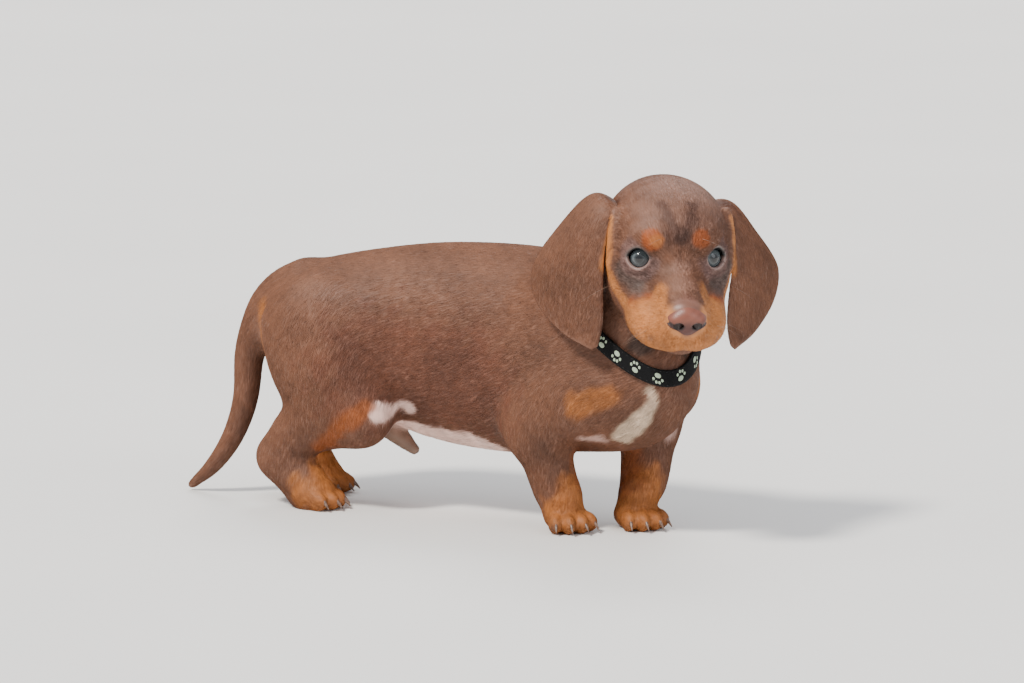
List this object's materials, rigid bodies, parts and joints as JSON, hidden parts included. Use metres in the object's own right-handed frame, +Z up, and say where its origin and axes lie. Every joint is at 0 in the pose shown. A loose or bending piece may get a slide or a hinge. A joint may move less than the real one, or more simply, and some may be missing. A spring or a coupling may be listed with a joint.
{
  "type": "dachshund puppy",
  "caption": "Life-size smooth-haired dachshund puppy, chocolate and tan, standing with its head turned to its right, in a black collar.",
  "frame": {"origin": "on the floor, under the middle of the whole model's bounding box", "axes": "+X from the tail towards the chest, along the trunk; +Y to the puppy's left; +Z up"},
  "size_m": [0.381, 0.1528, 0.2138],
  "materials": {
    "coat": "short, close, glossy chocolate coat with tan markings",
    "nose_leather": "liver-coloured, finely pebbled and moist",
    "eye": "wet and clear over a grey-blue iris",
    "claw": "brown horn, slightly polished",
    "webbing": "black woven strap with small pale green and white dabs"
  },
  "bodies": {
    "root": {"claw_front_left_1": "claw", "claw_front_left_2": "claw", "claw_front_left_3": "claw", "claw_front_left_4": "claw", "claw_front_right_1": "claw", "claw_front_right_2": "claw", "claw_front_right_3": "claw", "claw_front_right_4": "claw", "claw_hind_left_1": "claw", "claw_hind_left_2": "claw", "claw_hind_left_3": "claw", "claw_hind_left_4": "claw", "claw_hind_right_1": "claw", "claw_hind_right_2": "claw", "claw_hind_right_3": "claw", "claw_hind_right_4": "claw", "collar": "webbing", "ear_left": "coat", "ear_right": "coat", "eye_left": "eye", "eye_right": "eye", "head": "coat", "leg_front_left": "coat", "leg_front_right": "coat", "leg_hind_left": "coat", "leg_hind_right": "coat", "neck": "coat", "nose": "nose_leather", "tail": "coat", "torso": "coat"}
  },
  "joints": []
}
